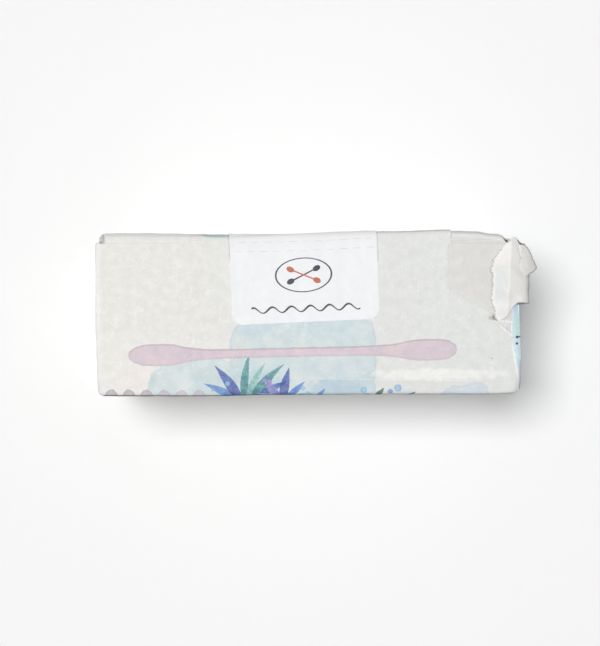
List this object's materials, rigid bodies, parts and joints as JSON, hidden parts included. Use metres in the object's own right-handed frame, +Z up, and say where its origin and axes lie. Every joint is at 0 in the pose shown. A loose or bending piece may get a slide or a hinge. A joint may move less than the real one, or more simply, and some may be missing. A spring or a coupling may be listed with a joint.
{
  "type": "cotton swab refill pack",
  "caption": "Paper-wrapped block of upright cotton swabs with folded ends, a lapped top, a torn corner and a glued closure label bent over the back edge.",
  "frame": {"origin": "middle of the base, which the pack stands on", "axes": "+X to the pack's right along its width, +Y to its back, +Z up towards the top with the closure label"},
  "size_m": [0.1007, 0.0375, 0.0795],
  "materials": {
    "wrapping_paper": "uncoated off-white wrapping paper with pale blue wash and pink-grey print",
    "label_paper": "smooth white label paper with a slight sheen"
  },
  "bodies": {
    "root": {"paper_wrapper": "wrapping_paper", "closure_label": "label_paper"}
  },
  "joints": []
}
